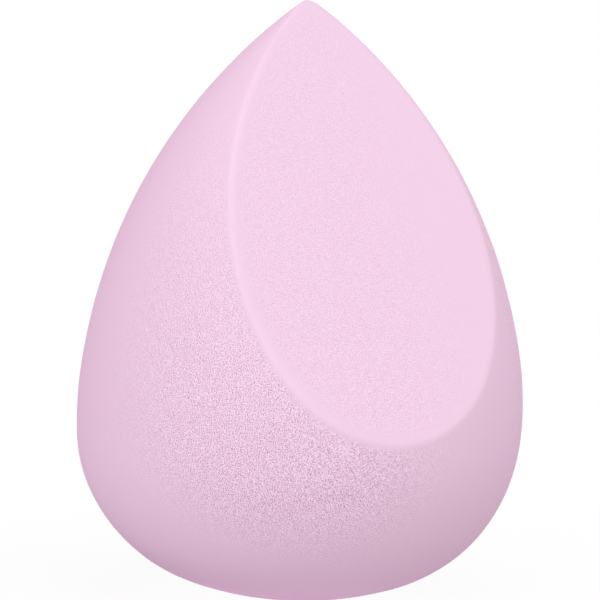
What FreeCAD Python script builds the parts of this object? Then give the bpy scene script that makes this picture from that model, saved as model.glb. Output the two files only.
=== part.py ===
import FreeCAD, Part
import math
import os
import Sketcher

# Makeup sponge: one teardrop of foam with a slanted flat cut, in millimetres and degrees.
# +Z is up along the teardrop's centre line. The origin is the centre of the small flat
# foot it stands on. The cut faces -Y and leans back, and X = 0 is the mirror plane.

NODE = "sponge_body"

# Each driving dimension: its name, its value and what it is. Heights are from the foot.
DIMENSIONS = [
    ("total_height", 59.5, "foot to the point of the uncut teardrop"),
    ("belly_radius", 22.2, "radius at the widest ring"),
    ("belly_height", 18.2, "height of the widest ring"),
    ("foot_depth", 0.5, "how much of the round end is cut flat"),
    ("bottom_arc", 33.8, "radius of the round end"),
    ("lower_arc", 16.5, "radius of the curve from the round end to the belly"),
    ("flank_arc", 35.6, "radius of the curve that passes the widest ring"),
    ("shoulder_height", 23.2, "height where the flank curve meets the flatter one up to the point"),
    ("cut_lean", 28.4, "angle of the cut face, back from upright"),
    ("cut_crossing", 58.7, "height where the cut crosses the centre line"),
    ("cut_margin", 6.0, "how far the cutting wedge reaches past the foam"),
    ("cut_edge_radius", 0.4, "rounding of the rim of the cut face"),
]

# Names for a sketch's own origin and upright axis, and for the points of an edge
ORIGIN_POINT = (-1, 1)
UPRIGHT_AXIS = -2
START = 1
END = 2
CENTRE = 3

SKETCH_NORMAL = FreeCAD.Vector(0, 0, 1)
PLANE_TOLERANCE = 1e-4


def make_sheet(doc):
    """The driving dimensions, one row each: name, value and meaning."""
    sheet = doc.addObject("Spreadsheet::Sheet", "Dimensions")
    for row, (name, value, meaning) in enumerate(DIMENSIONS, start=1):
        sheet.set(f"A{row}", name)
        sheet.set(f"B{row}", str(value))
        sheet.set(f"C{row}", meaning)
        sheet.setAlias(f"B{row}", name)
    doc.recompute()
    return sheet


def origin_plane(body, role):
    """One of the body's own three origin planes."""
    return next(part for part in body.Origin.OriginFeatures if part.Role == role)


def new_sketch(body, name, role):
    """An empty sketch flat on one of the body's origin planes."""
    sketch = body.newObject("Sketcher::SketchObject", name)
    sketch.AttachmentSupport = [(origin_plane(body, role), "")]
    sketch.MapMode = "FlatFace"
    return sketch


def add_size(sketch, kind, places, value, expression):
    """A dimension of the sketch, drawn at a starting value and bound to the sheet."""
    index = sketch.addConstraint(Sketcher.Constraint(kind, *places, value))
    sketch.setExpression(f"Constraints[{index}]", expression)


def add_line(sketch, start, end):
    """A straight edge between two points, each given as a pair."""
    return sketch.addGeometry(Part.LineSegment(FreeCAD.Vector(*start), FreeCAD.Vector(*end)))


def arc_edge(centre, radius, start_angle, end_angle):
    """An arc that runs anticlockwise between two angles in radians."""
    circle = Part.Circle(FreeCAD.Vector(*centre), SKETCH_NORMAL, radius)
    return Part.ArcOfCircle(circle, start_angle, end_angle)


def centre_touching(first, first_gap, second, second_gap):
    """The point at the two given distances from two centres, on the outer side."""
    (ax, ay), (bx, by) = first, second
    span = math.hypot(bx - ax, by - ay)
    along = (first_gap**2 - second_gap**2 + span**2) / (2 * span)
    aside = math.sqrt(first_gap**2 - along**2)
    ux, uy = (bx - ax) / span, (by - ay) / span
    choices = [(ax + along * ux - side * uy, ay + along * uy + side * ux) for side in (aside, -aside)]
    return max(choices)


def profile_arcs(sheet):
    """Centre and radius of the four arcs of the half outline, from the foot to the point.

    Neighbouring arcs touch inside each other, so their centres lie the difference of
    their radii apart. The flank arc's centre is level with the widest ring, and the last
    arc's radius is the one that carries it from the flank arc's end to the point.
    """
    flank_centre = (sheet.belly_radius - sheet.flank_arc, sheet.belly_height)
    bottom_centre = (0.0, sheet.bottom_arc - sheet.foot_depth)
    lower_centre = centre_touching(
        bottom_centre, sheet.bottom_arc - sheet.lower_arc, flank_centre, sheet.flank_arc - sheet.lower_arc
    )

    turn = math.asin((sheet.shoulder_height - sheet.belly_height) / sheet.flank_arc)
    out_x, out_y = math.cos(turn), math.sin(turn)
    shoulder_x = flank_centre[0] + sheet.flank_arc * out_x
    rise = sheet.total_height - sheet.shoulder_height
    crown_arc = (shoulder_x**2 + rise**2) / (2 * (shoulder_x * out_x - rise * out_y))
    crown_centre = (shoulder_x - crown_arc * out_x, sheet.shoulder_height - crown_arc * out_y)
    return [
        (bottom_centre, sheet.bottom_arc),
        (lower_centre, sheet.lower_arc),
        (flank_centre, sheet.flank_arc),
        (crown_centre, crown_arc),
    ]


def joint_angle(inner, outer):
    """The angle at which two touching arcs meet, seen from either centre."""
    (ax, ay), first_radius = inner
    (bx, by), second_radius = outer
    sign = 1 if first_radius > second_radius else -1
    return math.atan2(sign * (by - ay), sign * (bx - ax))


def sketch_half_outline(body, sheet):
    """Half of the upright section: foot, four tangent arcs and the centre line."""
    sketch = new_sketch(body, "HalfOutline", "XZ_Plane")
    arcs = profile_arcs(sheet)
    (_, bottom_y), bottom_radius = arcs[0]
    foot_radius = math.sqrt(bottom_radius**2 - bottom_y**2)
    (crown_x, crown_y), _ = arcs[-1]
    joints = [math.atan2(-bottom_y, foot_radius)]
    joints += [joint_angle(first, second) for first, second in zip(arcs, arcs[1:])]
    joints += [math.atan2(sheet.total_height - crown_y, -crown_x)]

    foot = add_line(sketch, (0, 0), (foot_radius, 0))
    bottom, lower, flank, crown = (
        sketch.addGeometry(arc_edge(centre, radius, joints[i], joints[i + 1]))
        for i, (centre, radius) in enumerate(arcs)
    )
    middle = add_line(sketch, (0, sheet.total_height), (0, 0))

    for first, second in ((bottom, lower), (lower, flank), (flank, crown)):
        sketch.addConstraint(Sketcher.Constraint("Tangent", first, END, second, START))
    sketch.addConstraint(
        [
            Sketcher.Constraint("Coincident", foot, START, *ORIGIN_POINT),
            Sketcher.Constraint("Horizontal", foot),
            Sketcher.Constraint("Coincident", foot, END, bottom, START),
            Sketcher.Constraint("PointOnObject", bottom, CENTRE, UPRIGHT_AXIS),
            Sketcher.Constraint("Coincident", crown, END, middle, START),
            Sketcher.Constraint("PointOnObject", middle, START, UPRIGHT_AXIS),
            Sketcher.Constraint("Coincident", middle, END, *ORIGIN_POINT),
        ]
    )

    names = ("bottom_arc", "lower_arc", "flank_arc")
    for edge, name, (_, radius) in zip((bottom, lower, flank), names, arcs):
        add_size(sketch, "Radius", (edge,), radius, f"Dimensions.{name}")
    (flank_x, flank_y), _ = arcs[2]
    add_size(
        sketch,
        "DistanceY",
        (*ORIGIN_POINT, bottom, CENTRE),
        bottom_y,
        "Dimensions.bottom_arc - Dimensions.foot_depth",
    )
    add_size(
        sketch,
        "DistanceX",
        (flank, CENTRE, *ORIGIN_POINT),
        -flank_x,
        "Dimensions.flank_arc - Dimensions.belly_radius",
    )
    add_size(sketch, "DistanceY", (*ORIGIN_POINT, flank, CENTRE), flank_y, "Dimensions.belly_height")
    add_size(
        sketch,
        "DistanceY",
        (*ORIGIN_POINT, flank, END),
        sheet.shoulder_height,
        "Dimensions.shoulder_height",
    )
    add_size(
        sketch, "DistanceY", (*ORIGIN_POINT, crown, END), sheet.total_height, "Dimensions.total_height"
    )
    return sketch


def sketch_cut_wedge(body, sheet):
    """Side view of the wedge of foam that the slanted cut takes off, a triangle."""
    sketch = new_sketch(body, "CutWedge", "YZ_Plane")
    slope = math.radians(90 - sheet.cut_lean)
    front = -(sheet.belly_radius + sheet.cut_margin)
    top = sheet.total_height + sheet.cut_margin
    low_corner = (front, sheet.cut_crossing + front * math.tan(slope))
    back_corner = ((top - sheet.cut_crossing) / math.tan(slope), top)

    face = add_line(sketch, low_corner, back_corner)
    roof = add_line(sketch, back_corner, (front, top))
    wall = add_line(sketch, (front, top), low_corner)
    crossing = sketch.addGeometry(Part.Point(FreeCAD.Vector(0, sheet.cut_crossing)), True)
    sketch.addConstraint(
        [
            Sketcher.Constraint("Coincident", face, END, roof, START),
            Sketcher.Constraint("Coincident", roof, END, wall, START),
            Sketcher.Constraint("Coincident", wall, END, face, START),
            Sketcher.Constraint("Horizontal", roof),
            Sketcher.Constraint("Vertical", wall),
            Sketcher.Constraint("PointOnObject", crossing, START, UPRIGHT_AXIS),
            Sketcher.Constraint("PointOnObject", crossing, START, face),
        ]
    )
    add_size(sketch, "Angle", (face,), slope, "90 - Dimensions.cut_lean")
    add_size(
        sketch,
        "DistanceY",
        (*ORIGIN_POINT, crossing, START),
        sheet.cut_crossing,
        "Dimensions.cut_crossing",
    )
    add_size(
        sketch,
        "DistanceX",
        (roof, END, *ORIGIN_POINT),
        -front,
        "Dimensions.belly_radius + Dimensions.cut_margin",
    )
    add_size(
        sketch,
        "DistanceY",
        (*ORIGIN_POINT, roof, END),
        top,
        "Dimensions.total_height + Dimensions.cut_margin",
    )
    return sketch


def rim_edges(shape, sheet):
    """Names of the edges round the slanted cut face."""
    lean = math.radians(sheet.cut_lean)
    normal = FreeCAD.Vector(0, -math.cos(lean), math.sin(lean))
    offset = sheet.cut_crossing * math.sin(lean)
    names = []
    for number, edge in enumerate(shape.Edges, start=1):
        gaps = [abs(normal.dot(point) - offset) for point in edge.discretize(5)]
        if max(gaps) < PLANE_TOLERANCE:
            names.append(f"Edge{number}")
    return names


def make_sponge(doc, sheet):
    """The sponge: a turned teardrop, less the wedge, with the cut's rim rounded."""
    body = doc.addObject("PartDesign::Body", "SpongeBody")
    body.Label = NODE

    outline = sketch_half_outline(body, sheet)
    teardrop = body.newObject("PartDesign::Revolution", "Teardrop")
    teardrop.Profile = outline
    teardrop.ReferenceAxis = (outline, ["V_Axis"])
    teardrop.Angle = 360
    doc.recompute()

    wedge = sketch_cut_wedge(body, sheet)
    cut = body.newObject("PartDesign::Pocket", "SlantedCut")
    cut.Profile = wedge
    cut.Type = "Length"
    cut.SideType = "Symmetric"
    cut.setExpression("Length", "2 * (Dimensions.belly_radius + Dimensions.cut_margin)")
    doc.recompute()
    if cut.Shape.Volume >= teardrop.Shape.Volume - 1:
        raise RuntimeError("the slanted cut took nothing off the teardrop")

    rim = body.newObject("PartDesign::Fillet", "CutRim")
    rim.Base = (cut, rim_edges(cut.Shape, sheet))
    rim.setExpression("Radius", "Dimensions.cut_edge_radius")
    body.Tip = rim
    doc.recompute()
    if rim.Shape.Volume >= cut.Shape.Volume:
        raise RuntimeError("the rim of the cut is not rounded")
    return body


def check_document(doc, bodies):
    """Stop if any object failed or any sub-part is not one sound solid."""
    for item in doc.Objects:
        if "Invalid" in item.State or "Error" in item.State:
            raise RuntimeError(f"{item.Label} failed: {item.State}")
        if item.TypeId == "Sketcher::SketchObject" and not item.FullyConstrained:
            raise RuntimeError(f"the sketch {item.Label} has free points")
    for body in bodies:
        shape = body.Shape
        if shape.isNull() or not shape.isValid() or len(shape.Solids) != 1:
            raise RuntimeError(f"{body.Label} is not one sound solid")


def main():
    os.makedirs("parts", exist_ok=True)
    doc = FreeCAD.newDocument("MakeupSponge")
    sheet = make_sheet(doc)
    bodies = [make_sponge(doc, sheet)]
    doc.recompute()
    check_document(doc, bodies)
    for body in bodies:
        body.Shape.exportStep(f"parts/{body.Label}.step")
        box = body.Shape.optimalBoundingBox()
        print(
            f"{body.Label}: {box.XLength:.2f} x {box.YLength:.2f} x {box.ZLength:.2f} mm, "
            f"{body.Shape.Volume / 1000:.2f} cm3, {len(body.Shape.Faces)} faces"
        )


main()
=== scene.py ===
import math

import bpy
import numpy as np
from mathutils import Matrix, Vector, noise


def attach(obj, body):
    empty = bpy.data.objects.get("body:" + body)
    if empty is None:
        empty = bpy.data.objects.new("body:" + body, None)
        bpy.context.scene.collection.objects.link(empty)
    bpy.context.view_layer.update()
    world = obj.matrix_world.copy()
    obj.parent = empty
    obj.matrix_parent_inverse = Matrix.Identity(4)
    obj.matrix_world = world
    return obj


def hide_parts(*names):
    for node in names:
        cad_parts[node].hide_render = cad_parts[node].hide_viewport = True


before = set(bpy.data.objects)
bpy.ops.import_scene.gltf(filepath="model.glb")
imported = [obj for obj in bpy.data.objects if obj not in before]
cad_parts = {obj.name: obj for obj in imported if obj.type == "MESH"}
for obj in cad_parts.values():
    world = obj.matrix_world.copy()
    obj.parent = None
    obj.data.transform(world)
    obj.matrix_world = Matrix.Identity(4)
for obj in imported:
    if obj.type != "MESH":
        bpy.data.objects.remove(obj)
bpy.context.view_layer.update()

# Makeup sponge: one block of fine pink-lilac foam, standing on its round end.
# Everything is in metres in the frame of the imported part: +Z up, the slanted cut faces -Y.

MM = 0.001

# Outline of the turned teardrop, the same dimensions as the solid's. Heights are from the foot.
TOTAL_HEIGHT = 59.5 * MM
BELLY_RADIUS = 22.2 * MM
BELLY_HEIGHT = 18.2 * MM
FOOT_DEPTH = 0.5 * MM
BOTTOM_ARC = 33.8 * MM
LOWER_ARC = 16.5 * MM
FLANK_ARC = 35.6 * MM
SHOULDER_HEIGHT = 23.2 * MM

# The slanted cut: how far it leans back from upright, which is 0.1 degrees more than the solid's,
# and where it crosses the centre line. Its normal and its distance from the origin follow.
CUT_LEAN = math.radians(28.5)
CUT_CROSSING = 58.7 * MM
CUT_NORMAL = (0.0, -math.cos(CUT_LEAN), math.sin(CUT_LEAN))
CUT_OFFSET = CUT_CROSSING * math.sin(CUT_LEAN)

# The rim of the cut is softly rounded, and between two heights the rounding narrows to the tip's.
# Where the side meets the foot, a wide radius eases the blunt corner.
RIM_ROUNDING = 0.6 * MM
TIP_ROUNDING = 0.1 * MM
NARROWING_START = 46.0 * MM
NARROWING_END = 58.5 * MM
FOOT_ROUNDING = 15.0 * MM

# The belly sits a little to one side, because soft foam isn't turned quite true: how far and which
# way, at what height most, and how far above and below that
BELLY_SHIFT = 0.22 * MM
BELLY_SHIFT_WAY = math.radians(-116)
BELLY_SHIFT_HEIGHT = 11.5 * MM
BELLY_SHIFT_SPREAD = 7.0 * MM

# The mesh is a cube's, with this many quads along each side, blown up along rays from the heart.
# Each ray's end is found by halving the farthest reach again and again.
SIDE_QUADS = 128
HEART = (0.0, 1.0 * MM, 24.0 * MM)
FARTHEST = 45.0 * MM
HALVINGS = 34

# More rays point at the tip, which would be coarse otherwise: how strongly, and within what angle
TIP = (0.0, 0.1 * MM, 58.9 * MM)
TIP_DRAW = 0.7
TIP_SPREAD = math.radians(12)

# Then the quads are drawn together at the rim of the cut and at the tip. In each round a corner
# moves part of the way to the mean of its neighbours, where those near the rim and the tip count
# for more, and settles back on the surface.
GATHER_ROUNDS = 60
GATHER_STEP = 0.6
RIM_PULL = 2.0
RIM_REACH = 1.5 * MM
TIP_PULL = 6.0
TIP_REACH = 4.0 * MM
SETTLE_ROUNDS = 2

# Slight unevenness of the foam: how far it rises and sinks, and over what length. The foot stays
# flat, and the unevenness is full from this height up.
SWELL_DEPTH = 0.03 * MM
SWELL_LENGTH = 5.0 * MM
RIPPLE_DEPTH = 0.01 * MM
RIPPLE_LENGTH = 1.2 * MM
UNEVEN_ABOVE = 2.0 * MM

# Limits that keep a division from failing: on lengths, on areas and on how parallel two faces are
TINY_LENGTH = 1e-9
TINY_AREA = 1e-12
MOST_PARALLEL = 0.999

# The camera, round the middle of the sponge, moved a little in its own plane and leaned. Its lens
# and sensor are in millimetres, as Blender counts them.
VIEW_AZIMUTH = math.radians(-26.5)
VIEW_ELEVATION = math.radians(6.5)
VIEW_DISTANCE = 420.0 * MM
VIEW_ROLL = math.radians(1.22)
AIM_HEIGHT = 29.5 * MM
AIM_ASIDE = -0.30 * MM
AIM_ABOVE = -0.19 * MM
NEAREST_SEEN = 10.0 * MM
LENS = 253.2
SENSOR = 36.0

# The foam: its colour, the deeper colour of its pores and the paler one of their edges, and where
# plain foam lies on the way from pore to edge. It is rough and hardly shines.
FOAM_COLOUR = (0.870, 0.620, 0.790, 1.0)
PORE_COLOUR = (0.500, 0.205, 0.401, 1.0)
EDGE_COLOUR = (1.000, 0.766, 0.927, 1.0)
PLAIN_FOAM = 0.5
FOAM_ROUGHNESS = 0.9
FOAM_SHINE = 0.1

# The rim is smoother: how far that reaches down the side and over the cut. On the side towards the key
# lamp its very edge also has a painted highlight, a little paler, which comes in between two places
# across the sponge.
SMOOTH_DOWN_SIDE = 0.3 * MM
SMOOTH_OVER_CUT = 0.8 * MM
RIM_PAINTED_HIGHLIGHT = 0.09
PAINTED_HIGHLIGHT_SHARPNESS = 4.0
PAINTED_HIGHLIGHT_SIDE = (-4.0 * MM, -11.0 * MM)

# The grain: how far apart the pores are, how far off the four places lie that each place is set
# against, how much paler it all is than plain foam, how strong it is, and how deep
PORE_SPACING = 0.11 * MM
PORE_SURROUND = 0.12 * MM
TETRAHEDRON = ((1, 1, 1), (1, -1, -1), (-1, 1, -1), (-1, -1, 1))
GRAIN_LIFT = 0.065
GRAIN_GAIN = 2.0
PORE_DEPTH = 0.006 * MM

# How plainly the grain shows on the side: it comes in over two heights, fades over two others to
# a small share, never goes below the faintest, and is mostly lost at the rim of the cut
GRAIN_RISE = (5.7 * MM, 16.6 * MM)
GRAIN_FALL = (5.0 * MM, 53.3 * MM)
GRAIN_ABOVE = 0.12
GRAIN_FAINTEST = 0.05
GRAIN_LOST_AT_RIM = 0.9

# It shows most in three broad patches round the lower belly: which way the first one lies and at
# what height, how it turns aside with height, how soft its edges are as cosines, and how far its
# lower edge bows down in the middle
PATCH_COUNT = 3
PATCH_WAY = math.radians(-31)
PATCH_HEIGHT = 17.0 * MM
PATCH_TWIST = math.radians(-0.73) / MM
PATCH_EDGE = (-1.22, 0.77)
PATCH_BOW = 2.8 * MM

# It also shows all round the back, from between two depths on, and on the foot below two heights
BACK_START = (6.0 * MM, 15.0 * MM)
FOOT_START = (1.2 * MM, 0.3 * MM)
GRAIN_ON_FOOT = 0.6

# How plainly it shows on the cut: between two depths behind the cut's face this takes over from
# the side's. It fades towards one side, along a line that leans with height, and towards the tip.
GRAIN_ON_CUT = 0.32
CUT_GRAIN_FROM = 0.4 * MM
CUT_GRAIN_FULL = 0.08 * MM
CUT_FADE_LEAN = 0.09
CUT_FADE_ASIDE = (1.7 * MM, 14.9 * MM)
CUT_FADED_ASIDE = 0.15
CUT_FADE_UP = (20.0 * MM, 59.8 * MM)
CUT_FADED_UP = 0.64

# The world: an even light on the sponge, where the camera sees white
AMBIENT = (0.651, 0.561, 0.597, 1.0)
WHITE = (1.0, 1.0, 1.0, 1.0)

# The floor: how far it reaches, and its paint, which is paler near the foot. The table also gives
# off a faint light round the foot. Each fades between two distances from the middle of the foot.
FLOOR_REACH = 3.0
FLOOR_PAINT = (0.69, 0.69, 0.69, 1.0)
FLOOR_NEAR_FOOT = (0.97, 0.97, 0.97, 1.0)
NEAR_FOOT = (10.0 * MM, 20.0 * MM)
TABLE_LIGHT = 0.225
TABLE_LIGHT_REACH = (8.5 * MM, 19.0 * MM)

# What the camera sees of the floor is plain white, a little less of it near the foot, where the
# sponge's shadow is kept, and all of it from the farther distance on
SHADOW_GLOW = 0.93
SHADOW_REACH = (20.0 * MM, 70.0 * MM)

# The lamps: how far from the middle of the sponge they stand, and how wide they are
LAMP_DISTANCE = 0.6
LAMP_WIDTH = 0.7


def direction(azimuth, elevation):
    """Unit vector from the sponge towards an azimuth and elevation; azimuth 0 is -Y."""
    level = math.cos(elevation)
    return Vector((math.sin(azimuth) * level, -math.cos(azimuth) * level, math.sin(elevation)))


def aimed(place, back):
    """World matrix of a camera or lamp at a place whose back points along a vector."""
    right = Vector((0, 0, 1)).cross(back).normalized()
    up = back.cross(right)
    turn = Matrix((right, up, back)).transposed().to_4x4()
    return Matrix.Translation(place) @ turn


def make_camera():
    """The camera at the photograph's angle, leaned a little to the side."""
    data = bpy.data.cameras.new("camera")
    data.sensor_width = SENSOR
    data.lens = LENS
    data.clip_start = NEAREST_SEEN
    camera = bpy.data.objects.new("camera", data)
    bpy.context.scene.collection.objects.link(camera)
    back = direction(VIEW_AZIMUTH, VIEW_ELEVATION)
    level = aimed(Vector((0, 0, AIM_HEIGHT)) + VIEW_DISTANCE * back, back)
    lean = Matrix.Rotation(VIEW_ROLL, 4, "Z")
    shift = Matrix.Translation((AIM_ASIDE, AIM_ABOVE, 0))
    camera.matrix_world = level @ shift @ lean
    bpy.context.scene.camera = camera


def centre_touching(first, first_gap, second, second_gap):
    """The point at the two given distances from two centres, on the outer side."""
    (ax, ay), (bx, by) = first, second
    span = math.hypot(bx - ax, by - ay)
    along = (first_gap**2 - second_gap**2 + span**2) / (2 * span)
    aside = math.sqrt(first_gap**2 - along**2)
    ux, uy = (bx - ax) / span, (by - ay) / span
    choices = [(ax + along * ux - side * uy, ay + along * uy + side * ux) for side in (aside, -aside)]
    return max(choices)


def outline_arcs():
    """Centre and radius of the four touching arcs of the half outline, from foot to point."""
    flank = (BELLY_RADIUS - FLANK_ARC, BELLY_HEIGHT)
    bottom = (0.0, BOTTOM_ARC - FOOT_DEPTH)
    lower = centre_touching(bottom, BOTTOM_ARC - LOWER_ARC, flank, FLANK_ARC - LOWER_ARC)
    turn = math.asin((SHOULDER_HEIGHT - BELLY_HEIGHT) / FLANK_ARC)
    out_across, out_up = math.cos(turn), math.sin(turn)
    shoulder = flank[0] + FLANK_ARC * out_across
    rise = TOTAL_HEIGHT - SHOULDER_HEIGHT
    crown_arc = (shoulder**2 + rise**2) / (2 * (shoulder * out_across - rise * out_up))
    crown = (shoulder - crown_arc * out_across, SHOULDER_HEIGHT - crown_arc * out_up)
    return [(bottom, BOTTOM_ARC), (lower, LOWER_ARC), (flank, FLANK_ARC), (crown, crown_arc)]


def joint_angle(inner, outer):
    """The angle at which two touching arcs meet, seen from either centre."""
    (ax, ay), first_radius = inner
    (bx, by), second_radius = outer
    sign = 1 if first_radius > second_radius else -1
    return math.atan2(sign * (by - ay), sign * (bx - ax))


def teardrop_gap(points):
    """Distance outside the turned teardrop, and the way straight out of it, at each point."""
    arcs = outline_arcs()
    joints = [joint_angle(first, second) for first, second in zip(arcs, arcs[1:])]
    starts = [-math.pi] + joints
    ends = joints + [math.pi]
    across = np.maximum(np.hypot(points[:, 0], points[:, 1]), TINY_LENGTH)
    up = points[:, 2]
    gap = across - BELLY_RADIUS
    outward = np.ones(len(points))
    upward = np.zeros(len(points))
    for ((centre_across, centre_up), radius), start, end in zip(arcs, starts, ends):
        run = across - centre_across
        rise = up - centre_up
        reach = np.hypot(run, rise)
        angle = np.arctan2(rise, run)
        here = (angle > start) & (angle <= end)
        gap = np.where(here, reach - radius, gap)
        outward = np.where(here, run / reach, outward)
        upward = np.where(here, rise / reach, upward)
    way = np.stack([outward * points[:, 0] / across, outward * points[:, 1] / across, upward], axis=1)
    return gap, way


def plane_gap(points, normal, offset):
    """Distance outside a flat face, and the face's normal, at each point."""
    normal = np.array(normal)
    return points @ normal - offset, np.tile(normal, (len(points), 1))


def cut_gap(points):
    """Distance in front of the slanted cut, and its normal, at each point."""
    return plane_gap(points, CUT_NORMAL, CUT_OFFSET)


def rounded_corner(first, second, radius):
    """Gap and way out for what lies inside both surfaces, with their shared edge rounded."""
    (gap_a, way_a), (gap_b, way_b) = first, second
    lean = np.clip(np.sum(way_a * way_b, axis=1), -MOST_PARALLEL, MOST_PARALLEL)
    a = gap_a + radius
    b = gap_b + radius
    part_a = (a - b * lean) / (1 - lean**2)
    part_b = (b - a * lean) / (1 - lean**2)
    at_edge = (part_a > 0) & (part_b > 0)
    reach = np.sqrt(np.maximum(a * part_a + b * part_b, TINY_AREA))
    gap = np.where(at_edge, reach - radius, np.maximum(gap_a, gap_b))
    part_a = np.where(at_edge, part_a / reach, gap_a >= gap_b)
    part_b = np.where(at_edge, part_b / reach, gap_a < gap_b)
    return gap, part_a[:, None] * way_a + part_b[:, None] * way_b


def eased(values, start, end):
    """Rises smoothly from 0 to 1 between two values, or falls if the end comes first."""
    share = np.clip((values - start) / (end - start), 0, 1)
    return share * share * (3 - 2 * share)


def sponge_gap(points):
    """Distance outside the whole sponge, and the way straight out of it, at each point."""
    aside = BELLY_SHIFT * np.exp(-(((points[:, 2] - BELLY_SHIFT_HEIGHT) / BELLY_SHIFT_SPREAD) ** 2))
    points = points - aside[:, None] * np.array(direction(BELLY_SHIFT_WAY, 0))
    narrowing = eased(points[:, 2], NARROWING_START, NARROWING_END)
    rim = RIM_ROUNDING + (TIP_ROUNDING - RIM_ROUNDING) * narrowing
    foot = plane_gap(points, (0.0, 0.0, -1.0), 0.0)
    standing = rounded_corner(teardrop_gap(points), foot, FOOT_ROUNDING)
    return rounded_corner(standing, cut_gap(points), rim)


def cube_grid(count):
    """Points on a cube's six sides as whole numbers from -count to count, and their quads."""
    steps = np.arange(count + 1) * 2 - count
    first, second = np.meshgrid(steps, steps, indexing="ij")
    corners = np.arange((count + 1) ** 2).reshape(count + 1, count + 1)
    quad = [corners[:-1, :-1], corners[1:, :-1], corners[1:, 1:], corners[:-1, 1:]]
    quad = np.stack([part.ravel() for part in quad], axis=1)
    places, quads = [], []
    for axis in range(3):
        for side in (-1, 1):
            sheet = np.empty((first.size, 3), dtype=int)
            sheet[:, axis] = side * count
            sheet[:, (axis + 1) % 3] = first.ravel()
            sheet[:, (axis + 2) % 3] = second.ravel()
            quads.append((quad if side > 0 else quad[:, ::-1]) + len(places) * first.size)
            places.append(sheet)
    points, index = np.unique(np.concatenate(places), axis=0, return_inverse=True)
    return points, index.ravel()[np.concatenate(quads)]


def drawn_to_tip(ways):
    """The same ways from the heart, closer together round the way to the tip."""
    tip_way = np.subtract(TIP, HEART)
    tip_way = tip_way / np.linalg.norm(tip_way)
    along = np.clip(ways @ tip_way, -1, 1)
    aside = ways - along[:, None] * tip_way
    aside = aside / np.maximum(np.linalg.norm(aside, axis=1), TINY_LENGTH)[:, None]
    angle = np.arccos(along)
    angle = angle * (1 - TIP_DRAW * np.exp(-((angle / TIP_SPREAD) ** 2)))
    return np.cos(angle)[:, None] * tip_way + np.sin(angle)[:, None] * aside


def surface_points(ways):
    """Where rays from the sponge's heart along the given ways leave the foam."""
    near = np.zeros(len(ways))
    far = np.full(len(ways), FARTHEST)
    for _ in range(HALVINGS):
        middle = (near + far) / 2
        inside = sponge_gap(HEART + middle[:, None] * ways)[0] < 0
        near = np.where(inside, middle, near)
        far = np.where(inside, far, middle)
    return HEART + near[:, None] * ways


def rim_nearness(points, down_side, over_cut):
    """1 on the rim of the cut, falling to 0 away from it over the two given lengths."""
    off_cut = cut_gap(points)[0] / down_side
    off_side = teardrop_gap(points)[0] / over_cut
    return np.exp(-(off_cut**2) - off_side**2)


def gathered(points, quads):
    """The same skin with its quads drawn together where it bends sharply."""
    start = quads.ravel()
    end = np.roll(quads, -1, axis=1).ravel()
    for _ in range(GATHER_ROUNDS):
        tip_nearness = np.exp(-(((TOTAL_HEIGHT - points[:, 2]) / TIP_REACH) ** 2))
        pull = 1 + RIM_PULL * rim_nearness(points, RIM_REACH, RIM_REACH) + TIP_PULL * tip_nearness
        weight = pull[start] + pull[end]
        total = np.bincount(start, weight)
        sums = [np.bincount(start, weight * points[end, axis]) for axis in range(3)]
        mean = np.stack(sums, axis=1) / total[:, None]
        points = points + GATHER_STEP * (mean - points)
        for _ in range(SETTLE_ROUNDS):
            gap, way = sponge_gap(points)
            points = points - gap[:, None] * way
    return points


def uneven(points):
    """How far the foam stands out at each point: slow swells and fine ripples."""
    swell = [noise.noise(Vector(point) / SWELL_LENGTH) for point in points]
    ripple = [noise.noise(Vector(point) / RIPPLE_LENGTH) for point in points]
    return SWELL_DEPTH * np.array(swell) + RIPPLE_DEPTH * np.array(ripple)


def make_sponge():
    """The whole sponge as one closed skin of even quads."""
    grid, quads = cube_grid(SIDE_QUADS)
    ways = np.tan(grid / SIDE_QUADS * math.pi / 4)
    ways = ways / np.linalg.norm(ways, axis=1, keepdims=True)
    points = gathered(surface_points(drawn_to_tip(ways)), quads)
    out = sponge_gap(points)[1]
    held = np.clip(points[:, 2] / UNEVEN_ABOVE, 0, 1)
    points = points + (held * uneven(points))[:, None] * out

    mesh = bpy.data.meshes.new("sponge")
    mesh.from_pydata(points.tolist(), [], quads.tolist())
    rim = mesh.attributes.new("rim", "FLOAT", "POINT")
    rim.data.foreach_set("value", rim_nearness(points, SMOOTH_DOWN_SIDE, SMOOTH_OVER_CUT))
    mesh.shade_smooth()
    sponge = bpy.data.objects.new("sponge", mesh)
    bpy.context.scene.collection.objects.link(sponge)
    return sponge


def reckoned(tree, operation, *values):
    """Output of a math node fed by other outputs or plain numbers."""
    node = tree.nodes.new("ShaderNodeMath")
    node.operation = operation
    for socket, value in zip(node.inputs, values):
        if isinstance(value, (int, float)):
            socket.default_value = value
        else:
            tree.links.new(value, socket)
    return node.outputs[0]


def mixed(tree, share, first, second):
    """Output that goes from a first colour to a second with the share of the second."""
    node = tree.nodes.new("ShaderNodeMix")
    node.data_type = "RGBA"
    tree.links.new(share, node.inputs[0])
    for socket, colour in zip(node.inputs[6:8], (first, second)):
        if isinstance(colour, tuple):
            socket.default_value = colour
        else:
            tree.links.new(colour, socket)
    return node.outputs[2]


def ramped(tree, value, span, ends=(0.0, 1.0)):
    """Output that goes smoothly from one end to the other as a value crosses a span."""
    node = tree.nodes.new("ShaderNodeMapRange")
    node.interpolation_type = "SMOOTHSTEP"
    tree.links.new(value, node.inputs["Value"])
    node.inputs["From Min"].default_value, node.inputs["From Max"].default_value = span
    node.inputs["To Min"].default_value, node.inputs["To Max"].default_value = ends
    return node.outputs[0]


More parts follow.
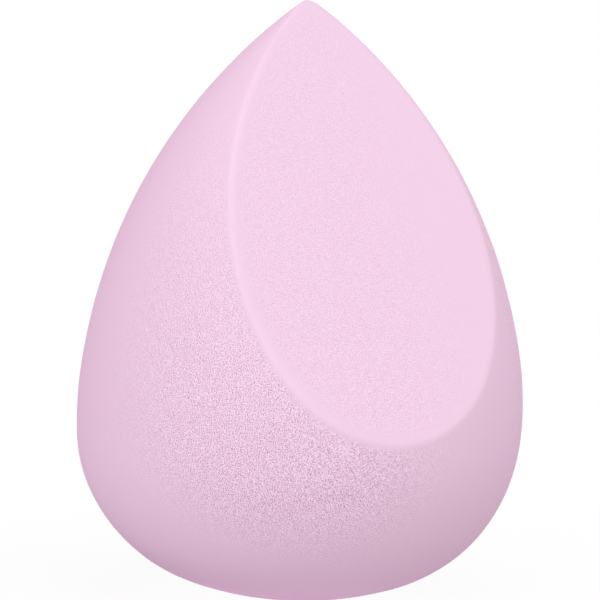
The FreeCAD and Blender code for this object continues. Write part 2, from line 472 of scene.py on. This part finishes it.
def grain_on_side(tree, across, depth, height):
    """How plainly the grain shows on the side, the back and the foot."""
    way = reckoned(tree, "ARCTAN2", across, reckoned(tree, "MULTIPLY", depth, -1.0))
    start = PATCH_TWIST * PATCH_HEIGHT - PATCH_WAY
    turn = reckoned(tree, "MULTIPLY_ADD", height, -PATCH_TWIST, start)
    turn = reckoned(tree, "MULTIPLY", reckoned(tree, "ADD", turn, way), PATCH_COUNT)
    nearness = reckoned(tree, "COSINE", turn)
    patch = reckoned(tree, "MAXIMUM", ramped(tree, nearness, PATCH_EDGE), ramped(tree, depth, BACK_START))
    rise = ramped(tree, reckoned(tree, "MULTIPLY_ADD", nearness, PATCH_BOW, height), GRAIN_RISE)
    fall = ramped(tree, height, GRAIN_FALL, (1.0, GRAIN_ABOVE))
    body = reckoned(tree, "MULTIPLY", reckoned(tree, "MULTIPLY", rise, fall), patch)
    foot = ramped(tree, height, FOOT_START, (GRAIN_FAINTEST, GRAIN_ON_FOOT))
    return reckoned(tree, "MAXIMUM", body, foot)


def grain_on_cut(tree, across, height):
    """How plainly the grain shows on the cut."""
    aside = reckoned(tree, "MULTIPLY_ADD", height, CUT_FADE_LEAN, across)
    aside = ramped(tree, aside, CUT_FADE_ASIDE, (GRAIN_ON_CUT, GRAIN_ON_CUT * CUT_FADED_ASIDE))
    up = ramped(tree, height, CUT_FADE_UP, (1.0, CUT_FADED_UP))
    return reckoned(tree, "MULTIPLY", aside, up)


def grain_strength(tree, place, rim):
    """How plainly the grain shows at each place on the sponge."""
    apart = tree.nodes.new("ShaderNodeSeparateXYZ")
    tree.links.new(place, apart.inputs[0])
    across, depth, height = apart.outputs
    ahead = tree.nodes.new("ShaderNodeVectorMath")
    ahead.operation = "DOT_PRODUCT"
    tree.links.new(place, ahead.inputs[0])
    ahead.inputs[1].default_value = CUT_NORMAL
    take_over = (CUT_OFFSET - CUT_GRAIN_FROM, CUT_OFFSET - CUT_GRAIN_FULL)
    on_cut = ramped(tree, ahead.outputs["Value"], take_over)

    cut_part = reckoned(tree, "MULTIPLY", on_cut, grain_on_cut(tree, across, height))
    off_cut = reckoned(tree, "SUBTRACT", 1.0, on_cut)
    side = grain_on_side(tree, across, depth, height)
    total = reckoned(tree, "MULTIPLY_ADD", side, off_cut, cut_part)
    kept = reckoned(tree, "MULTIPLY_ADD", rim, -GRAIN_LOST_AT_RIM, 1.0)
    return reckoned(tree, "MULTIPLY", total, kept)


def pore_gap(tree, place):
    """Distance from the middle of the nearest pore, in pore spacings."""
    pores = tree.nodes.new("ShaderNodeTexVoronoi")
    pores.inputs["Scale"].default_value = 1 / PORE_SPACING
    tree.links.new(place, pores.inputs["Vector"])
    return pores.outputs["Distance"]


def grain_level(tree, place):
    """The grain itself: below 0 in the pores and above 0 on the foam between them.

    Each place is set against the mean of four places round it, which keeps the grain crisp
    and free of broad blotches."""
    level = reckoned(tree, "ADD", pore_gap(tree, place), GRAIN_LIFT)
    for way in TETRAHEDRON:
        beside = tree.nodes.new("ShaderNodeVectorMath")
        beside.operation = "ADD"
        tree.links.new(place, beside.inputs[0])
        beside.inputs[1].default_value = Vector(way).normalized() * PORE_SURROUND
        gap = pore_gap(tree, beside.outputs[0])
        level = reckoned(tree, "MULTIPLY_ADD", gap, -1 / len(TETRAHEDRON), level)
    return level


def foam_colour(tree, place, rim, grain):
    """Plain foam, deeper in the pores and paler at their edges, with a painted highlight along the rim on
    the key lamp's side.
    """
    colours = tree.nodes.new("ShaderNodeValToRGB")
    stops = colours.color_ramp.elements
    stops[0].color = PORE_COLOUR
    stops[1].color = EDGE_COLOUR
    stops.new(PLAIN_FOAM).color = FOAM_COLOUR
    apart = tree.nodes.new("ShaderNodeSeparateXYZ")
    tree.links.new(place, apart.inputs[0])
    # Painted highlight: the rim's very edge is made paler on the side towards the key lamp
    side = ramped(tree, apart.outputs["X"], PAINTED_HIGHLIGHT_SIDE, (0.0, RIM_PAINTED_HIGHLIGHT))
    edge = reckoned(tree, "POWER", rim, PAINTED_HIGHLIGHT_SHARPNESS)
    plain_or_highlit = reckoned(tree, "MULTIPLY_ADD", edge, side, PLAIN_FOAM)
    tree.links.new(reckoned(tree, "ADD", grain, plain_or_highlit), colours.inputs[0])
    return colours.outputs[0]


def foam_material():
    """Matte pink-lilac foam with fine pores."""
    material = bpy.data.materials.new("foam")
    material.use_nodes = True
    tree = material.node_tree
    shader = tree.nodes["Principled BSDF"]
    shader.inputs["Roughness"].default_value = FOAM_ROUGHNESS
    shader.inputs["Specular IOR Level"].default_value = FOAM_SHINE

    place = tree.nodes.new("ShaderNodeTexCoord").outputs["Object"]
    rim_node = tree.nodes.new("ShaderNodeAttribute")
    rim_node.attribute_name = "rim"
    rim = rim_node.outputs["Fac"]
    strength = reckoned(tree, "MULTIPLY", grain_strength(tree, place, rim), GRAIN_GAIN)
    grain = reckoned(tree, "MULTIPLY", grain_level(tree, place), strength)
    tree.links.new(foam_colour(tree, place, rim, grain), shader.inputs["Base Color"])

    bump = tree.nodes.new("ShaderNodeBump")
    bump.inputs["Distance"].default_value = PORE_DEPTH
    tree.links.new(grain, bump.inputs["Height"])
    tree.links.new(bump.outputs[0], shader.inputs["Normal"])
    return material


def to_camera(tree):
    """A mask that is 1 where the camera, a reflection or a clear thing looks."""
    path = tree.nodes.new("ShaderNodeLightPath")
    seen = reckoned(tree, "MAXIMUM", path.outputs["Is Camera Ray"], path.outputs["Is Glossy Ray"])
    return reckoned(tree, "MAXIMUM", seen, path.outputs["Is Transmission Ray"])


def make_world():
    """White where the camera looks, and a plain even light on the sponge."""
    world = bpy.data.worlds.new("studio")
    world.use_nodes = True
    nodes, links = world.node_tree.nodes, world.node_tree.links
    light = nodes["Background"]
    light.inputs["Color"].default_value = AMBIENT
    white = nodes.new("ShaderNodeBackground")
    white.inputs["Color"].default_value = WHITE
    mix = nodes.new("ShaderNodeMixShader")
    links.new(to_camera(world.node_tree), mix.inputs["Fac"])
    links.new(light.outputs[0], mix.inputs[1])
    links.new(white.outputs[0], mix.inputs[2])
    links.new(mix.outputs[0], nodes["World Output"].inputs["Surface"])
    bpy.context.scene.world = world


def floor_material():
    """Pale paint with a faint light of its own round the foot; white to the camera."""
    material = bpy.data.materials.new("floor")
    material.use_nodes = True
    tree = material.node_tree
    nodes, links = tree.nodes, tree.links
    nodes.remove(nodes["Principled BSDF"])
    seen = to_camera(tree)
    length = nodes.new("ShaderNodeVectorMath")
    length.operation = "LENGTH"
    links.new(nodes.new("ShaderNodeTexCoord").outputs["Object"], length.inputs[0])
    away = length.outputs["Value"]

    paint = nodes.new("ShaderNodeBsdfDiffuse")
    plain = mixed(tree, ramped(tree, away, NEAR_FOOT), FLOOR_NEAR_FOOT, FLOOR_PAINT)
    links.new(mixed(tree, seen, plain, WHITE), paint.inputs["Color"])
    light = nodes.new("ShaderNodeEmission")
    fading = ramped(tree, away, TABLE_LIGHT_REACH, (TABLE_LIGHT, 0.0))
    links.new(fading, light.inputs["Strength"])
    lit = nodes.new("ShaderNodeAddShader")
    links.new(paint.outputs[0], lit.inputs[0])
    links.new(light.outputs[0], lit.inputs[1])

    glow = nodes.new("ShaderNodeEmission")
    glow.inputs["Color"].default_value = WHITE
    share = ramped(tree, away, SHADOW_REACH, (SHADOW_GLOW, 1.0))
    mix = nodes.new("ShaderNodeMixShader")
    links.new(reckoned(tree, "MULTIPLY", share, seen), mix.inputs["Fac"])
    links.new(lit.outputs[0], mix.inputs[1])
    links.new(glow.outputs[0], mix.inputs[2])
    links.new(mix.outputs[0], nodes["Material Output"].inputs["Surface"])
    return material


def make_floor():
    """A wide plain floor, level with the foot."""
    mesh = bpy.data.meshes.new("floor")
    corners = [(-FLOOR_REACH, -FLOOR_REACH, 0), (FLOOR_REACH, -FLOOR_REACH, 0)]
    corners += [(FLOOR_REACH, FLOOR_REACH, 0), (-FLOOR_REACH, FLOOR_REACH, 0)]
    mesh.from_pydata(corners, [], [(0, 1, 2, 3)])
    mesh.materials.append(floor_material())
    floor = bpy.data.objects.new("floor", mesh)
    bpy.context.scene.collection.objects.link(floor)


def make_lamp(name, azimuth, elevation, power, colour):
    """A soft round lamp that faces the middle of the sponge; its angles are in degrees."""
    data = bpy.data.lights.new(name, "AREA")
    data.shape = "DISK"
    data.size = LAMP_WIDTH
    data.energy = power
    data.color = colour
    lamp = bpy.data.objects.new(name, data)
    bpy.context.scene.collection.objects.link(lamp)
    back = direction(math.radians(azimuth), math.radians(elevation))
    lamp.matrix_world = aimed(Vector((0, 0, AIM_HEIGHT)) + LAMP_DISTANCE * back, back)
    lamp.visible_camera = False


def make_lamps():
    """A low key lamp on the left, and a second from above right."""
    make_lamp("key", azimuth=-60, elevation=12, power=1.578, colour=(0.887, 0.990, 1.0))
    make_lamp("second", azimuth=20, elevation=58, power=1.695, colour=(0.834, 1.0, 0.885))


make_camera()
sponge = make_sponge()
sponge.data.materials.append(foam_material())
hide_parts("sponge_body")
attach(sponge, "root")
make_world()
make_floor()
make_lamps()

bpy.context.scene.view_settings.view_transform = "Standard"
